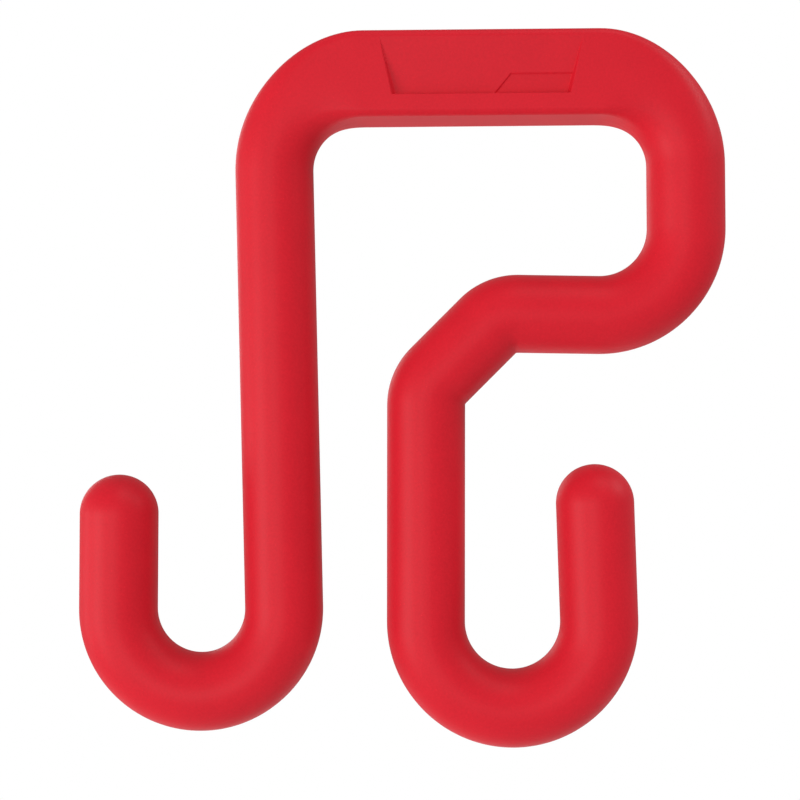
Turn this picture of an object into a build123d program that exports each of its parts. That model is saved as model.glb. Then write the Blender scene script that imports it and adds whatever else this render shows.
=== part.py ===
"""Bucket hook: one moulded rod, bent to sit over a bucket's lip, with a hook hanging on each side of the wall.

The front view is drawn in x (right) and y (up), with depth along z towards the viewer. The finished solid is
then stood up, so that +Z is up and the front faces -Y. The origin is the middle of the bar's flat seat.
"""
from build123d import *
import os
from math import cos, radians, sin, sqrt, tan

# Rod and bar sections, in millimetres
rod_diameter = 25.4
bar_height = 27.7
bar_depth = 25.4
bar_edge_radius = 2.5

# Space for the lip, and the throat that its wall passes through
lip_width = 108.9
lip_depth = 51.6
wall_gap = 22.5
throat_top = 86.8

# Bends: centreline radii, and the inside radius of the two elbows
leg_shoulder_radius = 29.6
column_shoulder_radius = 29.1
return_corner_radius = 28.3
elbow_inside_radius = 1.0

# Hooks: clear gap, depth of the inside below the seat, and height of the tip above that inside
leg_hook_gap = 28.6
leg_hook_reach = 172.4
leg_tip_rise = 58.2
drop_hook_gap = 31.1
drop_hook_reach = 178.8
drop_tip_rise = 66.6
tip_dome_radius = 12.9

# Leans from upright and level, in degrees: both hooks close a little towards their mouths
leg_lean = 0.75
leg_tip_lean = 0.93
drop_lean = 0.58
drop_tip_lean = 1.5
return_slope = 1.4
diagonal_angle = 45.5

# Wedge recess on the bar's front, deepest along its lower edge, with a bare tag in its lower right corner
recess_top_width = 63.8
recess_bottom_width = 56.2
recess_bottom = 7.1
recess_depth = 2.0
recess_side_draft = 25.0
recess_sill_draft = 10.0
tag_depth = 0.4
tag_top = 13.3
tag_top_left = 9.8
tag_bottom_left = 5.7

# Sections in each shoulder, where the bar's flat sides turn into the round rod
shoulder_sections = 7
side_arc_angle = 22.5

rod_radius = rod_diameter / 2
bar_middle = bar_height / 2
bar_front = bar_depth / 2
upright_x = lip_width / 2 + rod_radius
elbow_radius = rod_radius + elbow_inside_radius

# Headings along the route, in degrees from +x
left = 180.0
down = 270.0
leg_heading = down + leg_lean
return_heading = left - return_slope
diagonal_heading = down - diagonal_angle
drop_heading = down - drop_lean


def crossing(point_a, heading_a, point_b, heading_b):
    """The point where two lines meet, each given by a point and a heading."""
    ax, ay = cos(radians(heading_a)), sin(radians(heading_a))
    bx, by = cos(radians(heading_b)), sin(radians(heading_b))
    dx, dy = point_b[0] - point_a[0], point_b[1] - point_a[1]
    along = (dx * by - dy * bx) / (ax * by - ay * bx)
    return (point_a[0] + along * ax, point_a[1] + along * ay)


def section_plane(path, position):
    """Plane across the path, with its x along the hook's depth."""
    return Plane(origin=path @ position, x_dir=(0, 0, 1), z_dir=path % position)


def rod(path):
    """Round rod along a path of straight runs and tangent bends."""
    return sweep(section_plane(path, 0) * Circle(rod_radius), path=path)


def section(height, depth, edge_radius, side_angle):
    """Closed section of four sides and four rounded edges; with a side angle, the sides bulge as arcs."""
    turn = radians(side_angle)
    half_h, half_d = height / 2 - edge_radius, depth / 2 - edge_radius
    edge_angle = 90 - 2 * side_angle
    if side_angle == 0:
        edge_x, edge_y = half_d, half_h
        side_radius = {}
    else:
        rise = 1 - cos(turn)
        scale = sin(turn) ** 2 - rise ** 2
        top_extra = (half_d * sin(turn) - half_h * rise) / scale
        front_extra = (half_h * sin(turn) - half_d * rise) / scale
        edge_x, edge_y = top_extra * sin(turn), front_extra * sin(turn)
        side_radius = {0: front_extra + edge_radius, 1: top_extra + edge_radius}
    edges = []
    for quarter, (sx, sy) in enumerate(((1, 1), (-1, 1), (-1, -1), (1, -1))):
        edges.append(CenterArc((sx * edge_x, sy * edge_y), edge_radius, 90 * quarter + side_angle, edge_angle))
    outline = []
    for quarter, edge in enumerate(edges):
        following = edges[(quarter + 1) % 4]
        outline.append(edge)
        if side_angle == 0:
            outline.append(Line(edge @ 1, following @ 0))
        else:
            radius = side_radius[(quarter + 1) % 2]
            outline.append(JernArc(edge @ 1, edge % 1, radius, 2 * side_angle))
    return make_face(outline)


def shoulder(bend):
    """Bend whose section changes from the bar's rounded box, at its start, to the round rod at its end."""
    faces = []
    for index in range(shoulder_sections):
        position = index / (shoulder_sections - 1)
        share = position * position * (3 - 2 * position)
        profile = section(
            bar_height + (rod_diameter - bar_height) * share,
            bar_depth + (rod_diameter - bar_depth) * share,
            bar_edge_radius + (rod_radius - bar_edge_radius) * share,
            side_arc_angle * share,
        )
        faces.append(section_plane(bend, position) * profile)
    return sweep(faces, path=bend, multisection=True)


def tip(path, rise, reach, heading, lean):
    """Last straight run of a hook and its domed end, from the end of the path up to the stated rise."""
    dome_height = tip_dome_radius - sqrt(tip_dome_radius ** 2 - rod_radius ** 2)
    start = path @ 1
    length = (rise - reach - start.Y) / cos(radians(lean)) - dome_height
    run = PolarLine(start, length, heading)
    end = Plane(origin=run @ 1, x_dir=(0, 0, 1), z_dir=run % 1)
    arc = RadiusArc((rod_radius, 0), (0, dome_height), -tip_dome_radius)
    half = make_face([arc, Line((0, dome_height), (0, 0)), Line((0, 0), (rod_radius, 0))])
    dome = revolve(Plane.XZ * half, Axis.Z)
    return run, end * dome


# Bar with its two shoulders
bar_centre = (0, bar_middle)
leg_corner = crossing((-upright_x, 0), leg_heading, bar_centre, left)
leg_turn = leg_heading - left
bar_left = leg_corner[0] + leg_shoulder_radius * tan(radians(leg_turn / 2))
bar_right = upright_x - column_shoulder_radius
bar_path = Line((bar_left, bar_middle), (bar_right, bar_middle))
bar_section = section(bar_height, bar_depth, bar_edge_radius, 0)
bar = extrude(section_plane(bar_path, 0) * bar_section, amount=bar_path.length)
leg_bend = JernArc((bar_left, bar_middle), (-1, 0), leg_shoulder_radius, leg_turn)
column_bend = JernArc((bar_right, bar_middle), (1, 0), column_shoulder_radius, -90)

# Leg side: the long leg, its hook and tip
leg_hook_radius = leg_hook_gap / 2 + rod_radius
leg_end_y = leg_hook_gap / 2 - leg_hook_reach + leg_hook_radius * sin(radians(leg_lean))
leg_top = leg_bend @ 1
leg_run = PolarLine(leg_top, (leg_top.Y - leg_end_y) / cos(radians(leg_lean)), leg_heading)
leg_hook = JernArc(leg_run @ 1, leg_run % 1, leg_hook_radius, -180 - leg_lean - leg_tip_lean)
leg_tip, leg_dome = tip(leg_hook, leg_tip_rise, leg_hook_reach, 90 - leg_tip_lean, leg_tip_lean)
leg_rod = rod(Wire([leg_run, leg_hook, leg_tip]))

# Drop side: column, return run under the lip, diagonal, drop leg, hook and tip
return_corner = (upright_x, -lip_depth - rod_radius)
leg_face_x = crossing((-upright_x, 0), leg_heading, (0, -throat_top), left)[0] + rod_radius
lower_elbow = (leg_face_x + wall_gap + rod_radius, -throat_top)
upper_elbow = crossing(return_corner, return_heading, lower_elbow, diagonal_heading)
drop_hook_radius = drop_hook_gap / 2 + rod_radius
drop_end_y = drop_hook_gap / 2 - drop_hook_reach + drop_hook_radius * sin(radians(drop_lean))
drop_end = crossing(lower_elbow, drop_heading, (0, drop_end_y), left)
drop_run = FilletPolyline(
    column_bend @ 1,
    return_corner,
    upper_elbow,
    lower_elbow,
    drop_end,
    radius=[return_corner_radius, elbow_radius, elbow_radius],
)
drop_hook = JernArc(drop_run @ 1, drop_run % 1, drop_hook_radius, 180 + drop_lean + drop_tip_lean)
drop_tip, drop_dome = tip(drop_hook, drop_tip_rise, drop_hook_reach, 90 + drop_tip_lean, drop_tip_lean)
drop_rod = rod(Wire(drop_run.edges() + [drop_hook, drop_tip]))


def trapezoid(inset, sill_rise, z):
    """Recess outline at depth z, drawn in by its wall drafts; it is open above the bar's top edge."""
    top = bar_height
    spread = (recess_top_width - recess_bottom_width) / 2 / (bar_height - bar_edge_radius - recess_bottom)
    half_bottom = recess_bottom_width / 2 - inset
    half_top = half_bottom + spread * (top - recess_bottom)
    half_sill = half_bottom + spread * sill_rise
    sill = recess_bottom + sill_rise
    corners = [(-half_sill, sill), (half_sill, sill), (half_top, top), (-half_top, top)]
    return Plane.XY.offset(z) * make_face(Polyline(*corners, close=True))


def in_front_of_floor(extra_depth):
    """Everything in front of the recess floor, which runs back from the bar's top edge to the sill."""
    top = bar_height - bar_edge_radius
    slope = recess_depth / (top - recess_bottom)
    far = bar_front + recess_depth
    corners = [
        (top + extra_depth / slope, bar_front),
        (0, bar_front - extra_depth - slope * top),
        (0, far),
        (top + extra_depth / slope, far),
    ]
    profile = Plane.YZ * make_face(Polyline(*corners, close=True))
    return extrude(profile, amount=recess_top_width, both=True)


# Recess: drafted trapezoid down to the sloping floor, and the tag sunk a little deeper
recess_deepest = recess_depth + tag_depth
walls = loft([
    trapezoid(0, 0, bar_front),
    trapezoid(
        recess_deepest * tan(radians(recess_side_draft)),
        recess_deepest * tan(radians(recess_sill_draft)),
        bar_front - recess_deepest,
    ),
])
tag_corners = [
    (tag_bottom_left, recess_bottom),
    (recess_top_width, recess_bottom),
    (recess_top_width, tag_top),
    (tag_top_left, tag_top),
]
tag_outline = extrude(make_face(Polyline(*tag_corners, close=True)), amount=bar_depth)
recess = walls & in_front_of_floor(0)
tag = walls & in_front_of_floor(tag_depth) & tag_outline

pieces = [bar, shoulder(leg_bend), shoulder(column_bend), leg_rod, leg_dome, drop_rod, drop_dome]
hook = Part() + pieces - [recess, tag]
bucket_hook = Plane.XZ * hook

os.makedirs("parts", exist_ok=True)
export_step(bucket_hook, "parts/bucket_hook.step")
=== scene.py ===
"""Bucket hook: its moulded body, the red plastic it is made of, and the studio that it is pictured in.

Sizes are in metres, and headings and leans in degrees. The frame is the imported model's own: +Z up, the front
towards -Y, and the origin in the middle of the bar's flat seat. The body follows one route, drawn in x and z
from the left tip to the right one, and geometry nodes carry its section along that route.
"""

import logging
import math
from dataclasses import dataclass, field, replace
from enum import Enum
from typing import ClassVar, Iterator, Sequence, Union

import bmesh
import bpy
from mathutils import Euler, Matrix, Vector

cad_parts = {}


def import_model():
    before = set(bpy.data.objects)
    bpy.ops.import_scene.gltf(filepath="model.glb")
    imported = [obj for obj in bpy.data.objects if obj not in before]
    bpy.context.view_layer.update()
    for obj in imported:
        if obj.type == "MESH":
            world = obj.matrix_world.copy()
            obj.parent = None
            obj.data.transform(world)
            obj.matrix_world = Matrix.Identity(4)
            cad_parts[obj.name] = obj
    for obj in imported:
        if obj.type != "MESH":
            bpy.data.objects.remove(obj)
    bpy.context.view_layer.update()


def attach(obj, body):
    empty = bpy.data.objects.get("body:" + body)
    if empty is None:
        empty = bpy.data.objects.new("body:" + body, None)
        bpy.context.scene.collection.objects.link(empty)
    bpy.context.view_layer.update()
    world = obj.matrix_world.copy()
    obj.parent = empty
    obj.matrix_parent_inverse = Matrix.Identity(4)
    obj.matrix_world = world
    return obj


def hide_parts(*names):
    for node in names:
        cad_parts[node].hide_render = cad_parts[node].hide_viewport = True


LOG = logging.getLogger("bucket_hook")
MM = 0.001
BODY = "root"
NODE = "bucket_hook"
SAME_PLACE = 1e-6

# Headings in the front view, in degrees from +X
UPWARDS = 90.0
LEFTWARDS = 180.0
DOWNWARDS = 270.0

# What each point of a route carries for the section there
CARRIED = ("heading", "roundness", "girth")

Point = tuple[float, float]
Place = tuple[float, float, float]
Colour = tuple[float, float, float]
Term = Union["Field", bpy.types.NodeSocket, float]


class Field:
    """A number that varies over a shape; arithmetic on it adds Math nodes to its tree."""

    def __init__(self, tree: bpy.types.NodeTree, socket: bpy.types.NodeSocket) -> None:
        """Holds an output socket of a tree."""
        self.tree = tree
        self.socket = socket

    def math(self, operation: str, *others: Term) -> "Field":
        """Adds one Math node.

        Args:
            operation: The node's operation.
            others: The terms after this one.

        Returns:
            The node's result.
        """
        node = self.tree.nodes.new("ShaderNodeMath")
        node.operation = operation
        for slot, term in zip(node.inputs, (self, *others)):
            plug(self.tree, term, slot)
        return Field(self.tree, node.outputs[0])

    def __add__(self, other: Term) -> "Field":
        """Sum."""
        return self.math("ADD", other)

    def __sub__(self, other: Term) -> "Field":
        """Difference."""
        return self.math("SUBTRACT", other)

    def __mul__(self, other: Term) -> "Field":
        """Product."""
        return self.math("MULTIPLY", other)

    def __truediv__(self, other: Term) -> "Field":
        """Quotient."""
        return self.math("DIVIDE", other)

    def __rsub__(self, other: float) -> "Field":
        """Difference from a plain number."""
        return self.math("MULTIPLY", -1.0) + other

    def sin(self) -> "Field":
        """Sine of an angle in radians."""
        return self.math("SINE")

    def cos(self) -> "Field":
        """Cosine of an angle in radians."""
        return self.math("COSINE")

    def squared(self) -> "Field":
        """Square."""
        return self.math("POWER", 2.0)

    def below(self, limit: Term) -> "Field":
        """1 where this is less than the limit, and 0 elsewhere."""
        return self.math("LESS_THAN", limit)

    def choose(self, where_one: "Field", where_zero: "Field") -> "Field":
        """One of two fields, by this mask of ones and zeros."""
        return where_one * self + where_zero * (1.0 - self)


def plug(tree: bpy.types.NodeTree, term: Term, slot: bpy.types.NodeSocket) -> None:
    """Feeds a node's input.

    Args:
        tree: The tree that the node is in.
        term: A field or an output socket to link, or a plain value to set.
        slot: The input.
    """
    if isinstance(term, Field):
        tree.links.new(term.socket, slot)
    elif isinstance(term, bpy.types.NodeSocket):
        tree.links.new(term, slot)
    else:
        slot.default_value = term


def add_node(
    tree: bpy.types.NodeTree,
    kind: str,
    inputs: dict[str | int, object] | None = None,
    **settings: object,
) -> bpy.types.Node:
    """Adds a node with its settings and inputs.

    Args:
        tree: The tree to add to.
        kind: The node's type.
        inputs: What to feed to its inputs, by name or number.
        settings: The node's own properties.

    Returns:
        The node.
    """
    node = tree.nodes.new(kind)
    for name, value in settings.items():
        setattr(node, name, value)
    for name, term in (inputs or {}).items():
        plug(tree, term, node.inputs[name])
    return node


def new_object(name: str, mesh: bpy.types.Mesh) -> bpy.types.Object:
    """Puts a mesh into the scene, unturned at the origin.

    Args:
        name: The object's name.
        mesh: Its mesh.

    Returns:
        The object.
    """
    made = bpy.data.objects.new(name, mesh)
    bpy.context.scene.collection.objects.link(made)
    return made


def apply_modifiers(made: bpy.types.Object) -> None:
    """Turns what an object's modifiers give into its plain mesh, and removes them."""
    depsgraph = bpy.context.evaluated_depsgraph_get()
    mesh = bpy.data.meshes.new_from_object(made.evaluated_get(depsgraph), depsgraph=depsgraph)
    made.modifiers.clear()
    made.data = mesh


def smooth_step(share: float) -> float:
    """Eases a share from 0 to 1, level at both ends."""
    return share * share * (3.0 - 2.0 * share)


def soft_min(a: float, b: float, blend: float) -> float:
    """The smaller of two numbers, rounded off where they differ by less than the blend."""
    if blend <= 0.0:
        return min(a, b)
    near = max(blend - abs(a - b), 0.0) / blend
    return min(a, b) - near * near * blend / 4.0


def between(start: float, end: float, steps: int) -> Iterator[float]:
    """Evenly spaced numbers between two others, without them."""
    for index in range(1, steps):
        yield start + (end - start) * index / steps


class Section(Enum):
    """How the cross-section changes along a bend, from its start to its end."""

    ROUND = "round"
    ROUND_TO_BOX = "round to box"
    BOX_TO_ROUND = "box to round"

    def roundness(self, position: float) -> float:
        """Roundness at a place on a bend.

        Args:
            position: From 0 at the bend's start to 1 at its end.

        Returns:
            From 0 for the bar's box to 1 for the round rod.
        """
        if self is Section.ROUND:
            return 1.0
        share = position if self is Section.BOX_TO_ROUND else 1.0 - position
        return smooth_step(share)


class Side(Enum):
    """The side that a hook or a wall lies on, as the sign of x."""

    LEFT = -1.0
    RIGHT = 1.0


@dataclass(frozen=True)
class Line:
    """A straight line in the front view, by one of its points and its heading."""

    x: float
    z: float
    heading: float

    @property
    def start(self) -> Point:
        """The point that the line is given by."""
        return self.x, self.z

    @property
    def direction(self) -> Point:
        """Unit step along the line."""
        angle = math.radians(self.heading)
        return math.cos(angle), math.sin(angle)

    def along(self, distance: float) -> Point:
        """The point at a distance along the line."""
        step_x, step_z = self.direction
        return self.x + distance * step_x, self.z + distance * step_z

    def at_height(self, z: float) -> Point:
        """The point of the line at a height."""
        return self.along((z - self.z) / self.direction[1])

    def crossing(self, other: "Line") -> Point:
        """The point where this line meets another."""
        ax, az = self.direction
        bx, bz = other.direction
        gap_x, gap_z = other.x - self.x, other.z - self.z
        return self.along((gap_x * bz - gap_z * bx) / (ax * bz - az * bx))


@dataclass(frozen=True)
class Station:
    """One section on the route: its centre, heading in radians, roundness and share of full girth."""

    x: float
    z: float
    heading: float
    roundness: float = 1.0
    girth: float = 1.0

    @property
    def centre(self) -> Point:
        """The section's centre in the front view."""
        return self.x, self.z


@dataclass(frozen=True)
class Corner:
    """A corner of the route before it is bent, with the radius of its bend."""

    place: Point
    radius: float
    section: Section = Section.ROUND

    def bend(self, before: Point, after: Point, step: float) -> list[Station]:
        """The stations round this corner.

        Args:
            before: The route's corner before this one.
            after: The corner after it.
            step: The largest turn from one station to the next, in degrees.

        Returns:
            Stations from the bend's start to its end.
        """
        x, z = self.place
        heading_in = math.atan2(z - before[1], x - before[0])
        heading_out = math.atan2(after[1] - z, after[0] - x)
        turn = math.remainder(heading_out - heading_in, math.tau)
        tangent = self.radius * math.tan(abs(turn) / 2)
        radius = math.copysign(self.radius, turn)
        centre_x = x - tangent * math.cos(heading_in) - radius * math.sin(heading_in)
        centre_z = z - tangent * math.sin(heading_in) + radius * math.cos(heading_in)
        steps = math.ceil(math.degrees(abs(turn)) / step)
        stations = []
        for index in range(steps + 1):
            position = index / steps
            heading = heading_in + turn * position
            stations.append(Station(
                centre_x + radius * math.sin(heading),
                centre_z - radius * math.cos(heading),
                heading,
                self.section.roundness(position),
            ))
        return stations


@dataclass
class HangingHook:
    """The upturned hook at a leg's lower end.

    The gap is the clear space inside. The reach is how far that inside lies below the seat, and the tip rises
    from there, leaning towards the leg.
    """

    side: Side
    gap: float
    reach: float
    tip_rise: float
    tip_lean: float
    rod_radius: float
    dome_rings: int = 30

    @property
    def bend_radius(self) -> float:
        """Radius of the rod's middle round the hook."""
        return self.gap / 2 + self.rod_radius

    def _tip(self, leg: Line) -> Line:
        """The line of the tip's straight run.

        Args:
            leg: The line of the leg that the hook ends.

        Returns:
            The line, upwards from the end of the hook's round.
        """
        radius = self.bend_radius
        lean, tip_lean = math.radians(abs(leg.heading - DOWNWARDS)), math.radians(self.tip_lean)
        centre_z = self.gap / 2 - self.reach
        leg_end_x = leg.at_height(centre_z + radius * math.sin(lean))[0]
        centre_x = leg_end_x + self.side.value * radius * math.cos(lean)
        tip_x = centre_x + self.side.value * radius * math.cos(tip_lean)
        return Line(tip_x, centre_z + radius * math.sin(tip_lean), UPWARDS + self.side.value * self.tip_lean)

    def corners(self, leg: Line) -> tuple[Corner, Corner]:
        """The two corners of the hook's round, both on the level line under it.

        Args:
            leg: The line of the leg that the hook ends.

        Returns:
            The leg's corner and the tip's corner.
        """
        radius = self.bend_radius
        bottom = self.gap / 2 - self.reach - radius
        return Corner(leg.at_height(bottom), radius), Corner(self._tip(leg).at_height(bottom), radius)

    def dome(self, leg: Line) -> list[Station]:
        """The tip's end, which is half a ball.

        Args:
            leg: The line of the leg that the hook ends.

        Returns:
            Stations from the apex to the full rod, heading down the tip.
        """
        tip = self._tip(leg)
        apex_x, apex_z = tip.at_height(self.tip_rise - self.reach)
        down_x, down_z = (-part for part in tip.direction)
        heading = math.atan2(down_z, down_x)
        stations = []
        for ring in range(self.dome_rings + 1):
            angle = math.pi / 2 * ring / self.dome_rings
            depth = self.rod_radius * (1.0 - math.cos(angle))
            x, z = apex_x + depth * down_x, apex_z + depth * down_z
            stations.append(Station(x, z, heading, girth=math.sin(angle)))
        return stations


@dataclass(frozen=True)
class RodSweep:
    """Geometry nodes that carry the section along a route.

    The section is the bar's box with rounded edges, and it can turn into the rod's circle.
    """

    bar_height: float
    bar_depth: float
    bar_edge_radius: float
    rod_diameter: float
    side_arc: float = 22.5
    flat_arc: float = 0.17
    seam_width: float = 0.8 * MM
    seam_height: float = 0.03 * MM
    seam_half_steps: int = 2
    side_steps: int = 12
    edge_steps: int = 12

    def inputs(self, material: bpy.types.Material | None = None) -> dict[str, object]:
        """The tree's inputs.

        Args:
            material: The rod's material, once there is one.

        Returns:
            The values by the names of their inputs.
        """
        return {
            "Bar Height": self.bar_height,
            "Bar Depth": self.bar_depth,
            "Bar Edge Radius": self.bar_edge_radius,
            "Rod Diameter": self.rod_diameter,
            "Side Arc": math.radians(self.side_arc),
            "Flat Arc": math.radians(self.flat_arc),
            "Seam Width": self.seam_width,
            "Seam Height": self.seam_height,
            "Side Steps": self.side_steps,
            "Edge Steps": self.edge_steps,
            "Material": material,
        }

    def tree(self) -> bpy.types.GeometryNodeTree:
        """Builds the node tree.

        Returns:
            A tree that takes a route of points with a heading, roundness and girth, and gives the closed rod.
        """
        tree = bpy.data.node_groups.new("rod_sweep", "GeometryNodeTree")
        kinds = {float: "NodeSocketFloat", int: "NodeSocketInt"}
        tree.interface.new_socket("Route", in_out="INPUT", socket_type="NodeSocketGeometry")
        for name, value in self.inputs().items():
            kind = kinds.get(type(value), "NodeSocketMaterial")
            tree.interface.new_socket(name, in_out="INPUT", socket_type=kind)
        tree.interface.new_socket("Rod", in_out="OUTPUT", socket_type="NodeSocketGeometry")
        given = tree.nodes.new("NodeGroupInput").outputs
        size = {name: Field(tree, given[name]) for name in self.inputs() if name != "Material"}

        # The route, the ring of points round each section, and the tube that joins them
        route = add_node(tree, "GeometryNodeMeshToCurve", {"Mesh": given["Route"]})
        centre = add_node(tree, "GeometryNodeCaptureAttribute", {"Geometry": route.outputs["Curve"]})
        centre.capture_items.new("VECTOR", "Centre")
        plug(tree, tree.nodes.new("GeometryNodeInputPosition").outputs["Position"], centre.inputs["Centre"])
        count = (size["Side Steps"] + size["Edge Steps"]) * 4.0
        ring = add_node(tree, "GeometryNodeCurvePrimitiveCircle", {"Resolution": count})
        place = add_node(tree, "GeometryNodeCaptureAttribute", {"Geometry": ring.outputs["Curve"]})
        place.capture_items.new("INT", "Place")
        plug(tree, tree.nodes.new("GeometryNodeInputIndex").outputs["Index"], place.inputs["Place"])
        sweep = add_node(tree, "GeometryNodeCurveToMesh", {
            "Curve": centre.outputs["Geometry"],
            "Profile Curve": place.outputs["Geometry"],
        })

        # Each point moves to its place on the section's outline
        depth, height = self._section(size, Field(tree, place.outputs["Place"]))
        heading, girth = self._named(tree, "heading"), self._named(tree, "girth")
        middle = add_node(tree, "ShaderNodeSeparateXYZ", {0: centre.outputs["Centre"]}).outputs
        position = add_node(tree, "ShaderNodeCombineXYZ", {
            "X": Field(tree, middle["X"]) - heading.sin() * height * girth,
            "Y": Field(tree, middle["Y"]) - depth * girth,
            "Z": Field(tree, middle["Z"]) + heading.cos() * height * girth,
        })
        shaped = add_node(tree, "GeometryNodeSetPosition", {
            "Geometry": sweep.outputs["Mesh"],
            "Position": position.outputs["Vector"],
        })

        # The rings of no girth at the two apexes close up
        closed = add_node(tree, "GeometryNodeMergeByDistance", {
            "Geometry": shaped.outputs["Geometry"],
            "Distance": SAME_PLACE,
        })
        smooth = add_node(tree, "GeometryNodeSetShadeSmooth", {"Geometry": closed.outputs["Geometry"]})
        real = add_node(tree, "GeometryNodeRealizeInstances", {"Geometry": smooth.outputs["Geometry"]})
        dressed = add_node(tree, "GeometryNodeSetMaterial", {
            "Geometry": real.outputs["Geometry"],
            "Material": given["Material"],
        })
        add_node(tree, "NodeGroupOutput", {"Rod": dressed.outputs["Geometry"]})
        return tree

    @staticmethod
    def _named(tree: bpy.types.NodeTree, name: str) -> Field:
        """A number that the route carries at each of its points."""
        node = add_node(tree, "GeometryNodeInputNamedAttribute", {"Name": name}, data_type="FLOAT")
        return Field(tree, node.outputs["Attribute"])

    def _section(self, size: dict[str, Field], place: Field) -> tuple[Field, Field]:
        """The section's outline, as four sides and four rounded edges that all stay tangent.

        Args:
            size: The tree's sizes by name.
            place: The number of a point on the section, counted round from the lower end of its front side.

        Returns:
            The point's depth towards the front and its height across the route.
        """
        roundness = self._named(place.tree, "roundness")
        side_steps, edge_steps = size["Side Steps"], size["Edge Steps"]
        rod_radius = size["Rod Diameter"] / 2.0
        radius = size["Bar Edge Radius"] + (rod_radius - size["Bar Edge Radius"]) * roundness
        half_h = size["Bar Height"] / 2.0 + (rod_radius - size["Bar Height"] / 2.0) * roundness - radius
        half_d = size["Bar Depth"] / 2.0 + (rod_radius - size["Bar Depth"] / 2.0) * roundness - radius

        # Half the angle that each side bulges through, and what that adds to its radius
        turn = (size["Side Arc"] * roundness).math("MAXIMUM", size["Flat Arc"])
        rise = (turn / 2.0).sin().squared() * 2.0
        scale = turn.sin().squared() - rise.squared()
        odd_extra = (half_d * turn.sin() - half_h * rise) / scale
        even_extra = (half_h * turn.sin() - half_d * rise) / scale
        edge_d, edge_h = odd_extra * turn.sin(), even_extra * turn.sin()

        # Which quarter a point is in, and whether it is on a side or on the edge after that side
        per_quarter = side_steps + edge_steps
        quarter = ((place + 0.5) / per_quarter).math("FLOOR")
        step = place - quarter * per_quarter
        on_side = step.below(side_steps - 0.5)
        odd = quarter.math("MODULO", 2.0)
        facing = quarter * (math.pi / 2)

        # The moulding seam runs along the middle of the odd sides, as a low flat ridge
        half_steps = side_steps / 2.0
        from_middle = step - half_steps
        steps_off = from_middle.math("ABSOLUTE")
        on_seam = odd * steps_off.below(self.seam_half_steps + 0.5)
        seam_top = on_side * odd * steps_off.below(self.seam_half_steps - 0.5)
        seam_angle = from_middle * size["Seam Width"] / (2.0 * self.seam_half_steps) / (odd_extra + radius)
        narrow = self.seam_half_steps - 1.0
        spread = odd.choose((steps_off - narrow) / (half_steps - narrow), steps_off / half_steps)
        side_angle = on_seam.choose(seam_angle, turn * spread * from_middle.math("SIGN"))
        edge_angle = turn + (math.pi / 2 - turn * 2.0) * (step - side_steps) / edge_steps
        angle = facing + on_side.choose(side_angle, edge_angle)

        # Centre and radius of the arc that the point is on
        side_d = (1.0 - odd) * (edge_d - even_extra * turn.cos()) * facing.cos()
        side_h = odd * (edge_h - odd_extra * turn.cos()) * facing.sin()
        quarter_middle = facing + math.pi / 4
        corner_d = edge_d * quarter_middle.cos() * math.sqrt(2.0)
        corner_h = edge_h * quarter_middle.sin() * math.sqrt(2.0)
        arc = radius + on_side * odd.choose(odd_extra, even_extra) + seam_top * size["Seam Height"]
        depth = on_side.choose(side_d, corner_d) + arc * angle.cos()
        height = on_side.choose(side_h, corner_h) + arc * angle.sin()
        return depth, height

    def build(self, name: str, stations: Sequence[Station], material: bpy.types.Material) -> bpy.types.Object:
        """Makes the swept rod as a plain mesh.

        Args:
            name: The object's name.
            stations: The route.
            material: The rod's material.

        Returns:
            The rod's object.
        """
        mesh = bpy.data.meshes.new(name)
        links = [(index, index + 1) for index in range(len(stations) - 1)]
        mesh.from_pydata([(station.x, 0.0, station.z) for station in stations], links, [])
        for carried in CARRIED:
            values = [getattr(station, carried) for station in stations]
            mesh.attributes.new(carried, "FLOAT", "POINT").data.foreach_set("value", values)
        rod = new_object(name, mesh)
        modifier = rod.modifiers.new("sweep", "NODES")
        modifier.node_group = self.tree()
        given = self.inputs(material)
        for item in modifier.node_group.interface.items_tree:
            if item.in_out == "INPUT" and item.name in given:
                modifier[item.identifier] = given[item.name]
        apply_modifiers(rod)
        for carried in CARRIED:
            rod.data.attributes.remove(rod.data.attributes[carried])
        return rod


@dataclass(frozen=True)
class RecessWall:
    """A side wall of the recess, by its rim's distance from the bar's middle at the top and at the sill."""

    top: float
    bottom: float
    draft: float
    root_blend: float

    @property
    def slope(self) -> float:
        """Width that the wall takes up for each unit of its depth."""
        return math.tan(math.radians(self.draft))


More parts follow.
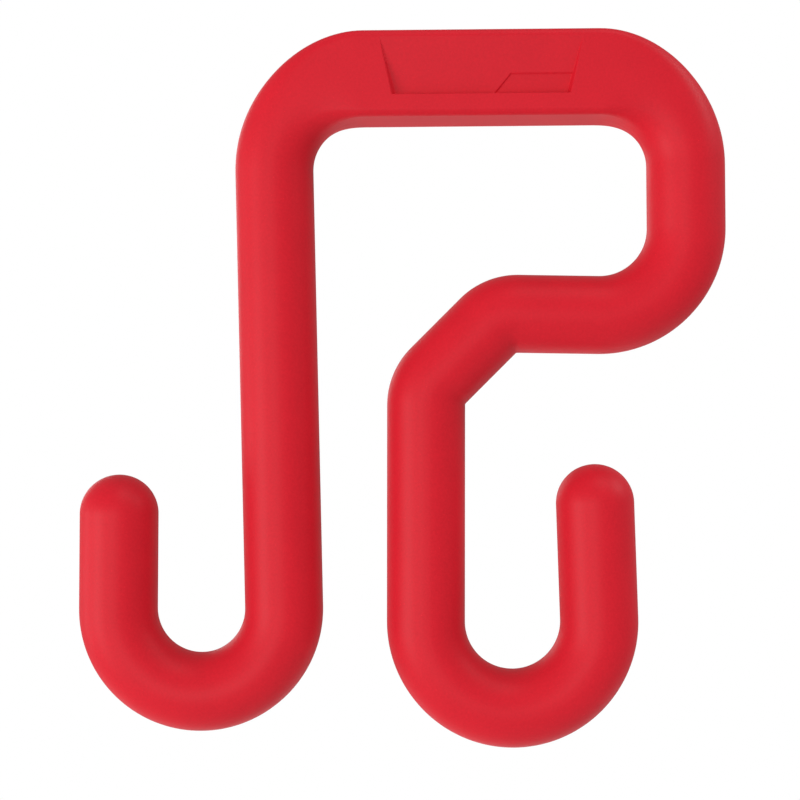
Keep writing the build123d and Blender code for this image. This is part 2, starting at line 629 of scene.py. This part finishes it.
@dataclass
class WedgeRecess:
    """The recess on the bar's front: flush at its top, deepest at its sill, with a bare tag in one corner."""

    # Rows and columns of the mesh, in millimetres from the line that they follow or as shares of a wall
    SILL_ROWS: ClassVar[Sequence[float]] = (
        -0.5, -0.25, -0.12, -0.06, -0.03, 0.0, 0.03, 0.06, 0.1, 0.15,
        0.2, 0.25, 0.3, 0.35, 0.4, 0.47, 0.56, 0.68, 0.85, 1.1,
    )
    TAG_ROWS: ClassVar[Sequence[float]] = (
        -1.0, -0.7, -0.6, -0.5, -0.4, -0.3, -0.2, -0.1, 0.0, 0.05, 0.15, 0.4,
    )
    TOP_ROWS: ClassVar[Sequence[float]] = (-0.5, -0.25, -0.1)
    RIM_COLUMNS: ClassVar[Sequence[float]] = (-0.5, -0.3, -0.2, -0.12, -0.05, 0.0, 0.05)
    WALL_SHARES: ClassVar[Sequence[float]] = (
        0.12, 0.24, 0.36, 0.48, 0.58, 0.67, 0.75, 0.82, 0.88,
        0.94, 1.0, 1.06, 1.12, 1.18, 1.25, 1.33, 1.45, 1.7,
    )
    TAG_COLUMNS: ClassVar[Sequence[float]] = (
        -0.5, -0.2, -0.06, 0.0, 0.1, 0.2, 0.3, 0.4, 0.5, 0.6, 0.7, 1.0,
    )

    # Outline, depth and tag
    top: float
    front: float
    left: RecessWall = RecessWall(top=32.3 * MM, bottom=28.4 * MM, draft=25.0, root_blend=0.8 * MM)
    right: RecessWall = RecessWall(top=32.8 * MM, bottom=28.7 * MM, draft=18.0, root_blend=0.4 * MM)
    bottom: float = 6.8 * MM
    depth: float = 2.8 * MM
    sill_draft: float = 10.0
    tag_depth: float = 0.4 * MM
    tag_top: float = 13.7 * MM
    tag_top_left: float = 9.7 * MM
    tag_bottom_left: float = 3.9 * MM
    tag_wall: float = 0.7 * MM

    # Roundings, and the largest shares of the floor's depth that those of the roots and the rim take
    sill_blend: float = 0.3 * MM
    root_share: float = 0.8
    rim_round: float = 0.5 * MM
    rim_share: float = 0.5

    # Least depth that a wall's columns are spaced for, and the flat face kept beyond the rims
    least_depth: float = 0.12 * MM
    clearance: float = 1.5 * MM

    def wall(self, side: Side) -> RecessWall:
        """The wall on one side."""
        return self.left if side is Side.LEFT else self.right

    def rim(self, side: Side, z: float) -> float:
        """How far a side's rim is from the bar's middle, at a height."""
        wall = self.wall(side)
        return wall.bottom + (wall.top - wall.bottom) * (z - self.bottom) / (self.top - self.bottom)

    def floor_depth(self, z: float) -> float:
        """Depth of the sloping floor at a height, before the tag."""
        return self.depth * (self.top - z) / (self.top - self.bottom)

    def tag_left(self, z: float) -> float:
        """The line of the tag's slanted edge at a height."""
        share = (z - self.bottom) / (self.tag_top - self.bottom)
        return self.tag_bottom_left + (self.tag_top_left - self.tag_bottom_left) * share

    def depth_at(self, x: float, z: float) -> float:
        """Depth below the bar's face, with the roots and the rim rounded.

        Args:
            x: Place along the bar.
            z: Height.

        Returns:
            The depth, 0 outside the recess.
        """
        floor = self.floor_depth(z)
        inside_tag = min(x - self.tag_left(z), self.tag_top - z) / self.tag_wall
        sunk = floor + self.tag_depth * smooth_step(min(max(inside_tag, 0.0), 1.0))
        for side in Side:
            wall = self.wall(side)
            slant = (self.rim(side, z) - side.value * x) / wall.slope
            sunk = soft_min(sunk, slant, min(wall.root_blend, self.root_share * floor))
        sill = (z - self.bottom) / math.tan(math.radians(self.sill_draft))
        sunk = soft_min(sunk, sill, self.sill_blend)
        return -soft_min(-sunk, 0.0, min(self.rim_round, self.rim_share * floor))

    def rows(self) -> list[float]:
        """Lays out the mesh's rows, close together at the sill, the tag's top edge and the recess's own top.

        Returns:
            Heights, from the sill up.
        """
        sill = [self.bottom + MM * offset for offset in self.SILL_ROWS]
        tag = [self.tag_top + MM * offset for offset in self.TAG_ROWS]
        top = [self.top + MM * offset for offset in self.TOP_ROWS]
        below_tag = between(sill[-1], tag[0], steps=10)
        above_tag = between(tag[-1], top[0], steps=18)
        return [*sill, *below_tag, *tag, *above_tag, *top]

    def columns(self, z: float) -> list[float]:
        """Lays out the mesh's columns in a row, close together at both walls and at the tag's edge.

        Args:
            z: The row's height.

        Returns:
            Places along the bar, from left to right.
        """
        left = [offset - self.rim(Side.LEFT, z) for offset in self._inward(Side.LEFT, z)]
        right = [self.rim(Side.RIGHT, z) - offset for offset in reversed(self._inward(Side.RIGHT, z))]
        tag = [self.tag_left(z) + MM * offset for offset in self.TAG_COLUMNS]
        before_tag = between(left[-1], tag[0], steps=8)
        after_tag = between(tag[-1], right[0], steps=5)
        return [*left, *before_tag, *tag, *after_tag, *right]

    def _inward(self, side: Side, z: float) -> list[float]:
        """Distances of a wall's columns from its rim, at a height, from outside the recess inwards."""
        wall_width = max(self.floor_depth(z), self.least_depth) * self.wall(side).slope
        on_rim = [MM * offset for offset in self.RIM_COLUMNS]
        on_wall = [on_rim[-1] + share * wall_width for share in self.WALL_SHARES]
        return on_rim + on_wall

    def cut_into(self, body: bmesh.types.BMesh, half_length: float) -> None:
        """Replaces the bar's flat front, between two stations, by the recess and the face round it.

        Args:
            body: The body's mesh.
            half_length: Half the distance between the two stations.
        """
        flat = [face for face in body.faces if self._on_front(face, half_length)]
        bmesh.ops.delete(body, geom=flat, context="FACES")
        hole = [edge for edge in body.edges if edge.is_boundary]
        grid = []
        for z in self.rows():
            grid.append([body.verts.new((x, self.depth_at(x, z) - self.front, z)) for x in self.columns(z)])
        made = []
        for low, high in zip(grid, grid[1:]):
            for index in range(len(low) - 1):
                made.append(body.faces.new((low[index], low[index + 1], high[index + 1], high[index])))
        rim = [edge for face in made for edge in face.edges if edge.is_boundary]
        filled = bmesh.ops.triangle_fill(body, edges=hole + rim, use_beauty=True, normal=(0.0, -1.0, 0.0))
        made += [piece for piece in filled["geom"] if isinstance(piece, bmesh.types.BMFace)]
        for face in made:
            face.smooth = True

    def _on_front(self, face: bmesh.types.BMFace, half_length: float) -> bool:
        """Whether a face lies on the bar's flat front, between the two stations."""
        reach = half_length + SAME_PLACE
        flatness = 0.05 * MM
        return all(abs(vert.co.x) < reach and vert.co.y < flatness - self.front for vert in face.verts)


@dataclass(frozen=True)
class MouldedPlastic:
    """Matte plastic with the fine grain of its mould, faint flow marks and a few paler specks."""

    name: str
    colour: Colour
    specular: float = 0.15
    roughness: float = 0.46
    roughness_spread: float = 0.06
    grain_size: float = 0.75 * MM
    grain_detail: float = 3.0
    grain_depth: float = 0.035 * MM
    grain_spread: float = 0.22
    flow_size: float = 14.0 * MM
    flow_detail: float = 2.0
    flow_spread: float = 0.05
    speck_spacing: float = 2.2 * MM
    speck_radius: float = 0.16 * MM
    speck_core: float = 0.5
    speck_lift: float = 0.25

    def build(self) -> bpy.types.Material:
        """Builds the material.

        Returns:
            The material, on Object coordinates.
        """
        material = bpy.data.materials.new(self.name)
        material.use_nodes = True
        tree = material.node_tree
        shader = tree.nodes["Principled BSDF"]
        shader.inputs["Specular IOR Level"].default_value = self.specular
        place = add_node(tree, "ShaderNodeTexCoord").outputs["Object"]
        grain = self._noise(tree, place, self.grain_size, self.grain_detail)
        flow = self._noise(tree, place, self.flow_size, self.flow_detail)
        tone = (flow - 0.5) * (2.0 * self.flow_spread) + (grain - 0.5) * self.grain_spread + 1.0
        tone = tone + self._specks(tree, place) * self.speck_lift
        colour = add_node(tree, "ShaderNodeVectorMath", {0: self.colour, "Scale": tone}, operation="SCALE")
        bump = add_node(tree, "ShaderNodeBump", {
            "Height": grain,
            "Strength": 1.0,
            "Distance": self.grain_depth,
        })
        plug(tree, colour.outputs["Vector"], shader.inputs["Base Color"])
        plug(tree, (grain - 0.5) * (2.0 * self.roughness_spread) + self.roughness, shader.inputs["Roughness"])
        plug(tree, bump.outputs["Normal"], shader.inputs["Normal"])
        return material

    @staticmethod
    def _noise(tree: bpy.types.NodeTree, place: bpy.types.NodeSocket, size: float, detail: float) -> Field:
        """Noise from 0 to 1, with features of about the given size."""
        noise = add_node(tree, "ShaderNodeTexNoise", {"Vector": place, "Scale": 1.0 / size, "Detail": detail})
        return Field(tree, noise.outputs["Fac"])

    def _specks(self, tree: bpy.types.NodeTree, place: bpy.types.NodeSocket) -> Field:
        """A mask of small round specks with soft edges."""
        cells = add_node(tree, "ShaderNodeTexVoronoi", {"Vector": place, "Scale": 1.0 / self.speck_spacing})
        edge = self.speck_radius / self.speck_spacing
        soft = add_node(tree, "ShaderNodeMapRange", {
            "Value": cells.outputs["Distance"],
            "From Min": edge,
            "From Max": edge * self.speck_core,
        }, interpolation_type="SMOOTHSTEP")
        return Field(tree, soft.outputs["Result"])


@dataclass
class BucketHook:
    """The whole moulded hook: bar and shoulders, long leg, stepped arm, and a hanging hook on each."""

    finish: MouldedPlastic
    rod_diameter: float = 25.4 * MM
    bar_height: float = 27.7 * MM
    bar_depth: float = 25.4 * MM
    bar_edge_radius: float = 2.5 * MM
    lip_width: float = 108.9 * MM
    lip_depth: float = 51.6 * MM
    wall_gap: float = 22.5 * MM
    throat_top: float = 86.8 * MM
    leg_shoulder_radius: float = 29.6 * MM
    column_shoulder_radius: float = 29.1 * MM
    return_corner_radius: float = 28.3 * MM
    elbow_inside_radius: float = 1.0 * MM
    leg_lean: float = 0.75
    leg_hook_gap: float = 28.6 * MM
    leg_hook_reach: float = 172.4 * MM
    leg_tip_rise: float = 58.2 * MM
    leg_tip_lean: float = 0.93
    drop_lean: float = 0.58
    drop_hook_gap: float = 31.1 * MM
    drop_hook_reach: float = 178.8 * MM
    drop_tip_rise: float = 66.6 * MM
    drop_tip_lean: float = 1.5
    return_slope: float = 1.4
    diagonal_angle: float = 45.5
    bend_step: float = 2.5
    recess: WedgeRecess = field(init=False)
    leg_hook: HangingHook = field(init=False)
    drop_hook: HangingHook = field(init=False)

    def __post_init__(self) -> None:
        """Makes the parts that take sizes from the body."""
        self.recess = WedgeRecess(top=self.bar_height - self.bar_edge_radius, front=self.bar_depth / 2)
        self.leg_hook = HangingHook(
            side=Side.LEFT,
            gap=self.leg_hook_gap,
            reach=self.leg_hook_reach,
            tip_rise=self.leg_tip_rise,
            tip_lean=self.leg_tip_lean,
            rod_radius=self.rod_radius,
        )
        self.drop_hook = HangingHook(
            side=Side.RIGHT,
            gap=self.drop_hook_gap,
            reach=self.drop_hook_reach,
            tip_rise=self.drop_tip_rise,
            tip_lean=self.drop_tip_lean,
            rod_radius=self.rod_radius,
        )

    @property
    def rod_radius(self) -> float:
        """Half the rod's thickness."""
        return self.rod_diameter / 2

    @property
    def bar_middle(self) -> float:
        """Height of the bar's middle above its seat."""
        return self.bar_height / 2

    @property
    def recess_half_length(self) -> float:
        """Half the distance between the two stations that stand clear of the recess."""
        return max(self.recess.left.top, self.recess.right.top) + self.recess.clearance

    def route(self) -> tuple[list[Station], list[Corner], list[Station]]:
        """Works out the route from the sizes.

        Returns:
            The left tip's dome, the corners from left to right, and the right tip's dome.
        """
        # Lines of the straight runs
        upright_x = self.lip_width / 2 + self.rod_radius
        leg = Line(-upright_x, 0.0, DOWNWARDS + self.leg_lean)
        return_run = Line(upright_x, -self.lip_depth - self.rod_radius, LEFTWARDS - self.return_slope)
        throat_x = leg.at_height(-self.throat_top)[0] + self.rod_radius + self.wall_gap
        diagonal = Line(throat_x + self.rod_radius, -self.throat_top, DOWNWARDS - self.diagonal_angle)
        drop = Line(diagonal.x, diagonal.z, DOWNWARDS - self.drop_lean)

        # Corners where the runs meet
        elbow_radius = self.rod_radius + self.elbow_inside_radius
        leg_corner, leg_tip_corner = self.leg_hook.corners(leg)
        drop_corner, drop_tip_corner = self.drop_hook.corners(drop)
        corners = [
            leg_tip_corner,
            leg_corner,
            Corner(leg.at_height(self.bar_middle), self.leg_shoulder_radius, Section.ROUND_TO_BOX),
            Corner((upright_x, self.bar_middle), self.column_shoulder_radius, Section.BOX_TO_ROUND),
            Corner(return_run.start, self.return_corner_radius),
            Corner(return_run.crossing(diagonal), elbow_radius),
            Corner(diagonal.start, elbow_radius),
            drop_corner,
            drop_tip_corner,
        ]
        return self.leg_hook.dome(leg), corners, self.drop_hook.dome(drop)

    def stations(self) -> list[Station]:
        """Sets out the sections along the route, with two more on the bar, one each side of the recess.

        Returns:
            Stations from the left tip to the right one.
        """
        stations, corners, last = self.route()
        places = [stations[0].centre, *(corner.place for corner in corners), last[0].centre]
        for index, corner in enumerate(corners):
            bend = corner.bend(places[index], places[index + 2], self.bend_step)
            if math.dist(bend[0].centre, stations[-1].centre) < SAME_PLACE:
                bend = bend[1:]
            stations += bend
            if corner.section is Section.ROUND_TO_BOX:
                for side in Side:
                    x = side.value * self.recess_half_length
                    stations.append(Station(x, self.bar_middle, heading=0.0, roundness=0.0))
        upwards = [replace(station, heading=station.heading + math.pi) for station in reversed(last)]
        return stations + upwards

    def build(self) -> bpy.types.Object:
        """Builds and dresses the body.

        Returns:
            The body, one closed mesh.
        """
        sweep = RodSweep(
            bar_height=self.bar_height,
            bar_depth=self.bar_depth,
            bar_edge_radius=self.bar_edge_radius,
            rod_diameter=self.rod_diameter,
        )
        body = sweep.build("hook_body", self.stations(), self.finish.build())
        shape = bmesh.new()
        shape.from_mesh(body.data)
        self.recess.cut_into(shape, self.recess_half_length)
        bmesh.ops.recalc_face_normals(shape, faces=shape.faces)
        shape.to_mesh(body.data)
        shape.free()
        weighted = body.modifiers.new("flat_faces", "WEIGHTED_NORMAL")
        weighted.mode = "FACE_AREA"
        apply_modifiers(body)
        return body


def seen_directly(tree: bpy.types.NodeTree, gloss_share: float) -> Field:
    """Which rays see plain white.

    Args:
        tree: The tree of a material or a world.
        gloss_share: How much of the white a glossy ray sees.

    Returns:
        1 for rays from the camera and through glass, the share for glossy rays, and 0 for light.
    """
    path = tree.nodes.new("ShaderNodeLightPath").outputs
    gloss = Field(tree, path["Is Glossy Ray"]) * gloss_share
    return gloss.math("MAXIMUM", path["Is Camera Ray"]).math("MAXIMUM", path["Is Transmission Ray"])


@dataclass(frozen=True)
class StudioPaper:
    """White paper that looks plain white, in gloss and glass too, but for a soft shadow below the hook."""

    name: str = "studio_paper"
    colour: Colour = (0.82, 0.82, 0.82)
    roughness: float = 0.9
    specular: float = 0.1
    shadow_share: float = 0.2
    shadow_inside: float = 0.35
    shadow_outside: float = 0.9

    def build(self) -> bpy.types.Material:
        """Builds the material.

        Returns:
            The material.
        """
        material = bpy.data.materials.new(self.name)
        material.use_nodes = True
        tree = material.node_tree
        shader = tree.nodes["Principled BSDF"]
        shader.inputs["Base Color"].default_value = (*self.colour, 1.0)
        shader.inputs["Roughness"].default_value = self.roughness
        shader.inputs["Specular IOR Level"].default_value = self.specular
        place = add_node(tree, "ShaderNodeTexCoord").outputs["Object"]
        across = add_node(tree, "ShaderNodeVectorMath", {0: place, 1: (1.0, 1.0, 0.0)}, operation="MULTIPLY")
        away = add_node(tree, "ShaderNodeVectorMath", {0: across.outputs["Vector"]}, operation="LENGTH")
        share = add_node(tree, "ShaderNodeMapRange", {
            "Value": away.outputs["Value"],
            "From Min": self.shadow_inside,
            "From Max": self.shadow_outside,
            "To Min": 1.0 - self.shadow_share,
            "To Max": 1.0,
        }, interpolation_type="SMOOTHSTEP")
        white = add_node(tree, "ShaderNodeEmission")
        mix = add_node(tree, "ShaderNodeMixShader", {
            0: seen_directly(tree, 1.0) * share.outputs["Result"],
            1: shader.outputs["BSDF"],
            2: white.outputs["Emission"],
        })
        plug(tree, mix.outputs["Shader"], tree.nodes["Material Output"].inputs["Surface"])
        return material


@dataclass(frozen=True)
class SoftLamp:
    """A square soft box aimed at the hook; azimuth 0 is in front of it and 90 to its right.

    A polarised lamp lights the hook without any gloss.
    """

    name: str
    azimuth: float
    elevation: float
    power: float
    distance: float = 3.6
    size: float = 1.62
    polarised: bool = False
    aim: Place = (-10.0 * MM, 0.0, -90.0 * MM)

    def build(self) -> bpy.types.Object:
        """Puts the lamp into the scene.

        Returns:
            The lamp's object.
        """
        turn, tilt = math.radians(self.azimuth), math.radians(self.elevation)
        towards = Vector((math.sin(turn) * math.cos(tilt), -math.cos(turn) * math.cos(tilt), math.sin(tilt)))
        lamp = bpy.data.lights.new(self.name, "AREA")
        lamp.shape = "SQUARE"
        lamp.size = self.size
        lamp.energy = self.power
        made = bpy.data.objects.new(self.name, lamp)
        made.visible_camera = False
        made.visible_glossy = not self.polarised
        made.location = Vector(self.aim) + towards * self.distance
        made.rotation_euler = towards.to_track_quat("Z", "Y").to_euler()
        bpy.context.scene.collection.objects.link(made)
        return made


@dataclass
class Studio:
    """Paper floor, soft lamps, room light and camera."""

    paper: StudioPaper = StudioPaper()
    floor_height: float = -0.78
    floor_reach: float = 1.0
    room_light: float = 0.4
    room_gloss: float = 0.05
    camera_place: Place = (-26.67 * MM, -538.29 * MM, -90.71 * MM)
    camera_sensor: float = 36.0
    camera_lens: float = 74.25
    camera_roll: float = -0.529
    lamps: Sequence[SoftLamp] = (
        SoftLamp("key_lamp", azimuth=-55.0, elevation=-8.0, power=62.0),
        SoftLamp("left_lamp", azimuth=-95.0, elevation=-8.0, power=21.6),
        SoftLamp("front_lamp", azimuth=-14.0, elevation=-4.0, power=35.5),
        SoftLamp("right_lamp", azimuth=85.0, elevation=35.0, power=39.0),
        SoftLamp("upper_lamp", azimuth=35.0, elevation=60.0, power=25.0),
        SoftLamp("back_lamp", azimuth=-150.0, elevation=12.0, power=12.0),
        SoftLamp(
            "low_lamp",
            azimuth=180.0,
            elevation=-28.0,
            power=4.5,
            distance=1.0,
            size=0.5,
            polarised=True,
        ),
    )

    def build_floor(self) -> bpy.types.Object:
        """Builds the sheet of paper below the hook.

        Returns:
            The paper's object.
        """
        reach = self.floor_reach
        corners = [(-reach, -reach), (reach, -reach), (reach, reach), (-reach, reach)]
        mesh = bpy.data.meshes.new("studio_floor")
        mesh.from_pydata([(x, y, self.floor_height) for x, y in corners], [], [(0, 1, 2, 3)])
        mesh.materials.append(self.paper.build())
        floor = new_object("studio_floor", mesh)
        return floor

    def build_room(self) -> bpy.types.World:
        """Builds the room's even light, which the camera sees as white.

        Returns:
            The room's world.
        """
        world = bpy.data.worlds.new("studio_room")
        world.use_nodes = True
        tree = world.node_tree
        light = tree.nodes["Background"]
        light.inputs["Color"].default_value = (1.0, 1.0, 1.0, 1.0)
        white = seen_directly(tree, self.room_gloss) * (1.0 - self.room_light)
        plug(tree, white + self.room_light, light.inputs["Strength"])
        bpy.context.scene.world = world
        return world

    def build_camera(self) -> bpy.types.Object:
        """Builds the camera at the photograph's viewpoint.

        Returns:
            The camera's object.
        """
        lens = bpy.data.cameras.new("camera")
        lens.sensor_width = self.camera_sensor
        lens.lens = self.camera_lens
        camera = bpy.data.objects.new("camera", lens)
        camera.location = self.camera_place
        level = Euler((math.radians(90.0), 0.0, 0.0)).to_matrix()
        roll = Euler((0.0, 0.0, math.radians(self.camera_roll))).to_matrix()
        camera.rotation_euler = (level @ roll).to_euler()
        bpy.context.scene.collection.objects.link(camera)
        bpy.context.scene.camera = camera
        return camera

    def build(self) -> None:
        """Builds the whole studio."""
        self.build_camera()
        self.build_floor()
        self.build_room()
        for lamp in self.lamps:
            lamp.build()
        bpy.context.scene.view_settings.view_transform = "Standard"


def main() -> None:
    logging.basicConfig(level=logging.INFO, format="%(name)s: %(message)s")
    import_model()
    red_plastic = MouldedPlastic(name="red_plastic", colour=(0.62, 0.0115, 0.0235))
    hook = BucketHook(red_plastic).build()
    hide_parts(NODE)
    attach(hook, BODY)
    LOG.info("%s: %d vertices, %d faces", hook.name, len(hook.data.vertices), len(hook.data.polygons))
    studio = Studio()
    studio.build()
    LOG.info("studio: %d lamps, floor at %.2f m", len(studio.lamps), studio.floor_height)


if __name__ == "__main__":
    main()
